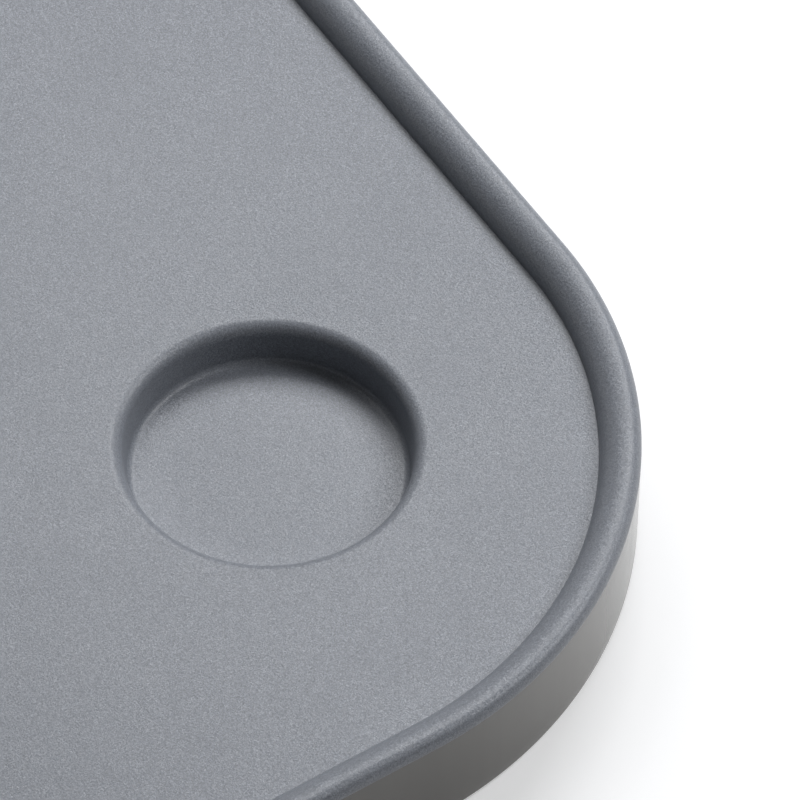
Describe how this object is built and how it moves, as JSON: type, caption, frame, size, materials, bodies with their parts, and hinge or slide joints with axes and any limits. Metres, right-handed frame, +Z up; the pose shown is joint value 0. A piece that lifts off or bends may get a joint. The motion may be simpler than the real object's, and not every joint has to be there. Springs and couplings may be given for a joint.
{
  "type": "wheelchair tray",
  "caption": "Moulded lap tray for a wheelchair, with a raised bead round its edge, a round cup recess, a cut-out for the body and straps that hold it to the armrests.",
  "frame": {"origin": "under the middle of the tray's width and depth, at the level of the rubber rests' feet", "axes": "+Z up out of the tray's floor, +Y away from the person in the chair, +X to that person's right"},
  "size_m": [0.6, 0.48, 0.0332],
  "materials": {
    "tray": "grey moulded ABS, finely grained on top, polished on the outer skirt",
    "rest": "dark matte rubber with grooves across its foot",
    "webbing": "black woven webbing",
    "hook_tape": "black hook tape",
    "plate": "black moulded plate",
    "bracket": "rolled stainless steel strip",
    "ring": "nickel-plated wire",
    "screw": "zinc-plated pan-head screw"
  },
  "bodies": {
    "tray": {"tray_shell": "tray", "armrest_rest_right_1": "rest", "armrest_rest_right_2": "rest", "armrest_rest_right_3": "rest", "armrest_rest_left_1": "rest", "armrest_rest_left_2": "rest", "armrest_rest_left_3": "rest", "strap_right_near": "webbing", "hook_patch_right_near": "hook_tape", "anchor_plate_right_near": "plate", "bracket_right_near": "bracket", "anchor_screw_right_near_1": "screw", "anchor_screw_right_near_2": "screw", "bracket_screw_right_near_1": "screw", "bracket_screw_right_near_2": "screw", "strap_right_far": "webbing", "hook_patch_right_far": "hook_tape", "anchor_plate_right_far": "plate", "bracket_right_far": "bracket", "anchor_screw_right_far_1": "screw", "anchor_screw_right_far_2": "screw", "bracket_screw_right_far_1": "screw", "bracket_screw_right_far_2": "screw", "strap_left_near": "webbing", "hook_patch_left_near": "hook_tape", "anchor_plate_left_near": "plate", "bracket_left_near": "bracket", "anchor_screw_left_near_1": "screw", "anchor_screw_left_near_2": "screw", "bracket_screw_left_near_1": "screw", "bracket_screw_left_near_2": "screw", "strap_left_far": "webbing", "hook_patch_left_far": "hook_tape", "anchor_plate_left_far": "plate", "bracket_left_far": "bracket", "anchor_screw_left_far_1": "screw", "anchor_screw_left_far_2": "screw", "bracket_screw_left_far_1": "screw", "bracket_screw_left_far_2": "screw"},
    "ring_right_near": {"ring_right_near": "ring"},
    "ring_right_far": {"ring_right_far": "ring"},
    "ring_left_near": {"ring_left_near": "ring"},
    "ring_left_far": {"ring_left_far": "ring"}
  },
  "joints": [
    {"name": "ring_right_near_swing", "type": "hinge", "parent": "tray", "child": "ring_right_near", "pos_m": [0.2815, -0.137, 0.0086], "axis": [0, -1, 0], "range_deg": [-25, 140], "deforming": ["strap_right_near"]},
    {"name": "ring_right_far_swing", "type": "hinge", "parent": "tray", "child": "ring_right_far", "pos_m": [0.2815, -0.015, 0.0086], "axis": [0, -1, 0], "range_deg": [-25, 140], "deforming": ["strap_right_far"]},
    {"name": "ring_left_near_swing", "type": "hinge", "parent": "tray", "child": "ring_left_near", "pos_m": [-0.2815, -0.137, 0.0086], "axis": [0, 1, 0], "range_deg": [-25, 140], "deforming": ["strap_left_near"]},
    {"name": "ring_left_far_swing", "type": "hinge", "parent": "tray", "child": "ring_left_far", "pos_m": [-0.2815, -0.015, 0.0086], "axis": [0, 1, 0], "range_deg": [-25, 140], "deforming": ["strap_left_far"]}
  ]
}
